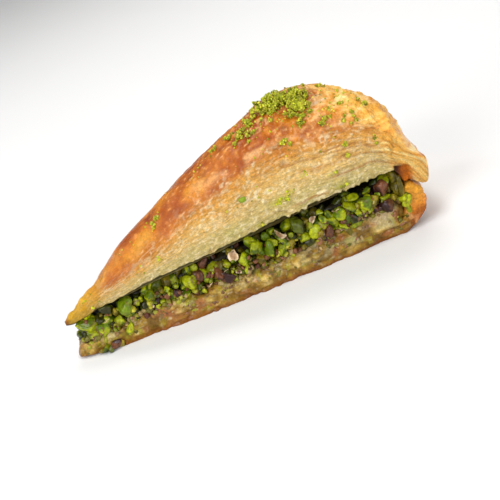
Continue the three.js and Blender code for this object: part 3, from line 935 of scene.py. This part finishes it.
def scatter_bits():
    """Small broken bits between the nuts at the cut."""
    rng = np.random.default_rng(29)
    bits = Heap(1)
    for hand in (-1, 1):
        for _ in range(190):
            s = rng.uniform(4, 136.5)
            low, high = CREAM_EDGE(s) - 1.5, filling_top(s) - 2.5
            z = low + (high - low) * rng.random()
            size = rng.uniform(0.8, 2.2)
            v, tone = lump(rng, size / 2, (0.7, 1.4), 7, 12, BIT_TONES, (0.6, 1.2))
            y = hand * (front_half(s) + rng.uniform(-1.6, 0.1))
            bits.add(v @ turn_matrix(rng).T, (sag_x(front_x(s, z), 0.95), y, z), tone,
                     rng.uniform(0.3, 1))
    bits.piece("nut_bits", nut_material, "pistachio_filling")


def painted_shade_core():
    """A smaller core under the nuts, painted near black: painted shade in the gaps between them."""
    s, qq, share = slab_grid(np.linspace(4, 138, 200), 12, 12)
    z = mix(mix(7, 9.6, s / RIM_AT), filling_top(s) - 1, qq)
    z = z + (qq > 0.99) * 0.6 * noise(s / 3, share * 5, seed=81)
    half = np.maximum(half_width(s) - 4.6 + 0.7 * noise(s / 3.1, z / 3.1, seed=82), 0.4)
    p = np.stack([sag_x(front_x(s, z), share), share * half, z], -1)
    v = clip01(0.5 + 0.7 * noise(s / 3, z / 3, share * 4, 83))
    return p, ramp(v, [(0, (16, 12, 6)), (1, (40, 34, 12))]), 0.3


def upright(lean):
    """Turns a lump so that its long side stands up, leaning along the slice."""
    c, si = math.cos(lean), math.sin(lean)
    return np.array([[si, 0, c], [0, 1, 0], [c, 0, -si]])


nut_material = food("chopped_pistachio", rough=(0.42, 0.16), coat=0.14, sss=0.06, depth=0.0008,
                    radius=(0.6, 0.8, 0.2), grain=(800, 0.9), fleck=(1000, 0.4),
                    specular=0.22)
scatter_filling()
scatter_mash()
scatter_bits()
rng = np.random.default_rng(3)
NOTABLE = [  # kind, s, height, size: pieces that stand out along the near cut
    ("dark", 94, 20.4, 6.2), ("green", 76.6, 18.4, 4.8), ("green", 81.4, 15.6, 4.4),
    ("green", 71, 14.8, 4.4), ("purple", 61.4, 11.8, 5.4), ("purple", 60.2, 14, 4),
    ("green", 136.2, 13.8, 4.2), ("green", 8, 12.6, 6.2), ("dark", 16.6, 16.2, 5),
    ("green", 23.4, 15.2, 6.2), ("green", 12.8, 9.6, 5.2), ("green", 19.6, 9.8, 4.6),
    ("green", 8.6, 8.4, 4),
    ("green", 110.8, 17.4, 5), ("green", 115.6, 19.2, 4.6), ("green", 100.5, 15.2, 4.8),
    ("green", 121.1, 17.8, 5.2), ("green", 48.9, 14.6, 4.6), ("green", 33.3, 15.6, 4.8),
    ("green", 86, 13.4, 4), ("purple", 104.5, 13, 4.4), ("olive", 125, 17.4, 4.2)]
# these pieces are drawn lighter than the other nuts: painted light on the pieces that stand out, most
# near the point
for kind, at, high, size in NOTABLE:
    nut(kind, at, -half_width(at) + size * 0.16, high, size, rng, lift=1.35 if at < 34 else 1.15)
near_side = -half_width(130)
for kind, at, out, high, size, shape, lean, lift in [
        ("olive", 135.8, -0.4, 18.4, 3.4, (2.4, 0.75, 0.7), 0.1, 1),
        ("green", 136.4, -1, 12.8, 3.6, (1.5, 0.9, 0.8), 0.5, 1),
        ("green", 136.2, -0.8, 9, 2.8, (1.5, 0.9, 0.8), -0.2, 0.8),
        ("olive", 134.6, -0.5, 6.4, 2.2, (1.2, 0.9, 0.8), None, 0.9),
        ("purple", 129.2, 1.2, 20.8, 5.4, (1.2, 1, 0.9), 0.5, 1),
        ("purple", 128.6, -0.2, 13.6, 4.6, (1, 1, 0.95), None, 0.7)]:
    turned = None if lean is None else upright(lean)
    nut(kind, at, near_side + out, high, size, rng, shape, turned, lift)
nut("green", 21.6, -half_width(21.6) - 0.2, 5.8, 3.4, rng, (1.6, 0.7, 0.8), upright(0.3))
for kind, at, out, high, size in [("green", 10.4, 1, 1.9, 3.2), ("purple", 14.4, 1.3, 2.1, 4),
                                  ("dark", 12.2, 1.7, 1.3, 2.8), ("olive", 16.6, 0.7, 1.3, 2.6),
                                  ("olive", 8.6, 0.9, 1.2, 2.4)]:
    nut(kind, at, -half_width(at) - out, high, size, rng)


def papery(heap, at, y, z, size, tone, rng):
    """A scrap of the nut's papery skin: a thin curled flake."""
    v, _ = chopped(rng, (size / 2, size / 2.8, size * 0.035), 7, 2, 14, 0.16)
    edge = np.hypot(v[:, 0], v[:, 1] * 1.4) / (size / 2)
    v[:, 2] += 0.55 * v[:, 0] ** 2 / size - 0.35 * v[:, 1] ** 2 / size \
        + 0.06 * size * noise(v[:, 0] / size * 5, v[:, 1] / size * 5, seed=int(size * 97))
    shade = blend(linear(tone) * 0.6, linear((222, 196, 158)), ease(0.5, 1, edge))
    heap.add(v @ turn_matrix(rng).T, (at, y, z), shade * rng.uniform(0.8, 1.1), 0.6)


skins = Heap(2)
for at, high, size in [(67.7, 18.6, 5), (86.5, 19.8, 5.2), (88.6, 17.6, 3.4), (56, 10.6, 3.4),
                       (100.2, 20.4, 3), (109.4, 19.8, 3.2), (32, 11.4, 2.8), (14.6, 12, 3.2)]:
    papery(skins, at, -half_width(at) + 0.3, high, size, (190, 148, 104), rng)
for _ in range(34):
    at, hand = rng.uniform(8, 134), rng.choice((-1, 1))
    high = rng.uniform(CREAM_EDGE(at), filling_top(at) - 1)
    papery(skins, at, hand * (half_width(at) - 0.7), high, rng.uniform(1.6, 3.2),
           ((176, 132, 92), (120, 76, 62), (150, 122, 60))[rng.integers(3)], rng)
skins.piece("nut_skins", nut_material, "pistachio_filling")
solid("painted_shade_core", painted_shade_core(), nut_material, "pistachio_filling")
for kind, heap in nut_heaps.items():
    heap.piece("nuts_" + kind, nut_material, "pistachio_filling")

# ---- ground pistachio
ground_material = food("ground_pistachio", rough=(0.8, 0.5), coat=0, grain=(2600, 0.3),
                       fleck=(2200, 0.18), specular=0.3)
meal, crumbs = Heap(1), Heap(1)
GRAIN_TONES = [(176, 182, 36), (160, 168, 28), (138, 144, 22), (196, 192, 56), (118, 118, 20),
               (172, 160, 48)]
ABOVE_CRUST, BESIDE_CRUST = 120, -80  # where the lines that look for the crust start
LOWEST_MEAL = 20  # no meal is thrown lower than this


def crust_hit(start, way):
    """Where a straight line first meets the crust, and the outward direction there."""
    spot, out = crust_tree.ray_cast(Vector(start), Vector(way))[:2]
    return None if spot is None else (np.array(spot), np.array(out))


def grain(heap, at, radius, rng, bright=1):
    v, tone = lump(rng, radius, (0.65, 1.35), 7, 8, GRAIN_TONES, (0.75, 1.25), 0.12)
    heap.add(v @ turn_matrix(rng).T, at, tone * bright, rng.uniform(0, 0.8))


def clump(at, out, size, rng, heap):
    """A crumb of meal: grains stuck together round a middle."""
    grain(heap, at, size * 0.62, rng, 0.8)
    for _ in range(int(5 + 4 * size)):
        d = rng.normal(size=3)
        d = d / np.linalg.norm(d) + 0.5 * out
        where = at + d / np.linalg.norm(d) * size * rng.uniform(0.55, 0.85)
        grain(heap, where, rng.uniform(0.2, 0.38), rng, rng.uniform(0.9, 1.35))


def thrown(s, y, count, spread, rng, lean=0, reach=0.5):
    """Places on the crust thrown round a middle: each spot, the outward direction there, and how
    far out it lies as a share of the spread."""
    for _ in range(count):
        a, r = rng.uniform(0, 2 * math.pi), abs(rng.normal(0, reach))
        ds, dy = r * math.cos(a) * spread[0], r * math.sin(a) * spread[1]
        ds, dy = ds * math.cos(lean) + dy * math.sin(lean), -ds * math.sin(lean) + dy * math.cos(lean)
        found = crust_hit((s + ds, y + dy, ABOVE_CRUST), (0, 0, -1))
        if found is not None and found[0][2] >= LOWEST_MEAL:
            yield *found, r


def cluster(heap, s, y, count, spread, pile, rng, size=(0.55, 1.15), lean=0):
    """Clumps thrown over the crust round a place, piled up to a height at its middle."""
    for spot, out, r in thrown(s, y, count, spread, rng, lean):
        each = rng.uniform(*size)
        height = pile * math.exp(-(r / 0.62) ** 2) * rng.uniform(0, 1)
        clump(spot + out * (each * 0.4 + height), out, each, rng, heap)


def dust(heap, s, y, count, spread, rng):
    """Single grains round a place."""
    for spot, out, _ in thrown(s, y, count, spread, rng, reach=0.7):
        radius = rng.uniform(0.16, 0.42)
        grain(heap, spot + out * radius * 0.4, radius, rng, 1.15)


rng = np.random.default_rng(19)
HEAP_LEAN = math.radians(24)
for at, side, count, spread, pile, size in [
        (107, -5.4, 98, (10.5, 6), 4, (0.8, 1.6)),
        (114, -6.4, 34, (5.4, 4), 3.2, (0.8, 1.5)),
        (101, -3.6, 38, (5.6, 4.4), 3.2, (0.8, 1.5)),
        (113.5, -10.4, 52, (5.4, 4), 3.4, (0.8, 1.6))]:
    cluster(meal, at, side, count, spread, pile, rng, size, HEAP_LEAN)
for at, side, count, spread, pile in [
        (93.5, -4.4, 22, (5, 4.2), 1.4), (88.6, -6.2, 10, (2.8, 2.8), 0.8),
        (90.8, -8.2, 9, (2.4, 2.2), 0.8), (101.3, -15.2, 11, (2, 3), 0.8),
        (111.2, -13.6, 7, (2.4, 1.8), 0.6), (118.9, -17.4, 9, (3.4, 2), 0.6),
        (124.8, -20.4, 4, (1.8, 1.6), 0.3), (128.4, -21.4, 4, (2.4, 1.6), 0.3),
        (127.7, -15, 3, (3.4, 2.6), 0.1), (136, -15, 5, (4.4, 3.6), 0.3),
        (121.2, -24.6, 4, (1.4, 1), 0.2), (47.5, -5.2, 6, (2.2, 1.6), 0.4),
        (45, -5.6, 3, (1.4, 1.4), 0.2), (84.8, -4, 5, (3.4, 3), 0.3),
        (78.4, -1, 3, (2.4, 2), 0.2), (128, 2, 5, (6, 8), 0.1),
        (7.5, -1.2, 3, (1.2, 0.8), 0.2)]:
    cluster(crumbs, at, side, count, spread, pile, rng)
for at, side, count, spread in [
        (107, -5, 170, (13, 9)), (92, -5, 46, (7, 6)),
        (122, -16, 50, (10, 8)),
        (132, -8, 34, (8, 9)), (108, 8, 30, (14, 7)), (47, -5, 12, (4, 2.5)),
        (70, -3, 14, (16, 6)), (10, -2, 8, (4, 1.6)), (30, -3, 8, (8, 3))]:
    dust(crumbs, at, side, count, spread, rng)
# bits on the pale face of the cut
for at, high, count, spread in [(93.2, 33, 12, (2.2, 0.9)), (95.8, 34.4, 7, (1.4, 0.7)),
                                (90.2, 32.4, 7, (1.2, 0.7)), (81.5, 26.8, 6, (1.3, 0.7)),
                                (115.7, 29, 7, (1.5, 0.8)), (114, 35, 4, (0.9, 0.7)),
                                (41.8, 28.3, 6, (1, 0.8)), (104, 38, 4, (1, 0.8)),
                                (132.5, 42, 9, (1, 3)), (34, 27, 4, (3, 2)),
                                (85, 36, 6, (20, 6)), (14, 20, 3, (3, 1))]:
    for _ in range(count):
        s, z = at + rng.normal(0, spread[0] * 0.6), high + rng.normal(0, spread[1] * 0.6)
        spot, out = crust_hit((s, BESIDE_CRUST, z), (0, 1, 0))
        radius = rng.uniform(0.25, 0.6)
        grain(crumbs, spot + out * radius * 0.35, radius, rng, 1.2)
spot, out = crust_hit((78.6, BESIDE_CRUST, 38.3), (0, 1, 0))
v, _ = chopped(rng, (1.7, 1.35, 1.5), 12, 1, 7)
crumbs.add(v, spot + out * 0.9, linear((126, 150, 26)), 0.9)
meal.piece("ground_pistachio", ground_material, "pistachio_heap")
crumbs.piece("pistachio_crumbs", ground_material, "pistachio_heap")

# ---- floor and light
FLOOR_HALF = 6  # metres
FLOOR_PALE = 0.8
LIT = (0, 0, 0.03)  # every lamp faces this place, in metres
LAMPS = [  # name, place, width, power, colour
    ("key_light", (0.22, 0.40, 0.62), 0.5, 2.6, (1, 0.985, 0.96)),
    ("window_light", (-0.50, 0.40, 0.42), 0.15, 1, (1, 1, 1)),
    ("top_light", (-0.1, -0.15, 1.1), 0.35, 5, (1, 1, 1)),
    ("side_light", (-0.75, -0.6, 0.5), 0.5, 7.5, (1, 1, 1)),
    ("front_light", (0.45, -0.85, 0.4), 0.6, 4.5, (1, 1, 1))]


def stage():
    me = bpy.data.meshes.new("floor")
    w = FLOOR_HALF
    me.from_pydata([(-w, -w, 0), (w, -w, 0), (w, w, 0), (-w, w, 0)], [], [(0, 1, 2, 3)])
    floor = placed("floor", me)
    g = Graph("pale_floor")
    cloudy = g.span(g.noise(g.place(), 9, 2), 0, 1, FLOOR_PALE - 0.01, FLOOR_PALE + 0.01)
    pale = g.add("CombineColor", "Color", {"Red": cloudy, "Green": cloudy, "Blue": cloudy})
    g.put(g.shader, {"Base Color": pale, "Roughness": 0.6})
    me.materials.append(g.mat)

    world = bpy.data.worlds.new("soft_room")
    bpy.context.scene.world = world
    world.use_nodes = True
    back = world.node_tree.nodes["Background"]
    back.inputs["Color"].default_value = (1, 1, 1, 1)
    back.inputs["Strength"].default_value = 0.2

    for name, where, width, power, colour in LAMPS:
        data = bpy.data.lights.new(name, "AREA")
        data.size, data.energy, data.color = width, power, colour
        ob = placed(name, data)
        ob.location = where
        ob.rotation_euler = (Vector(LIT) - Vector(where)).to_track_quat("-Z", "Y").to_euler()
    bpy.context.scene.view_settings.view_transform = "Standard"


stage()
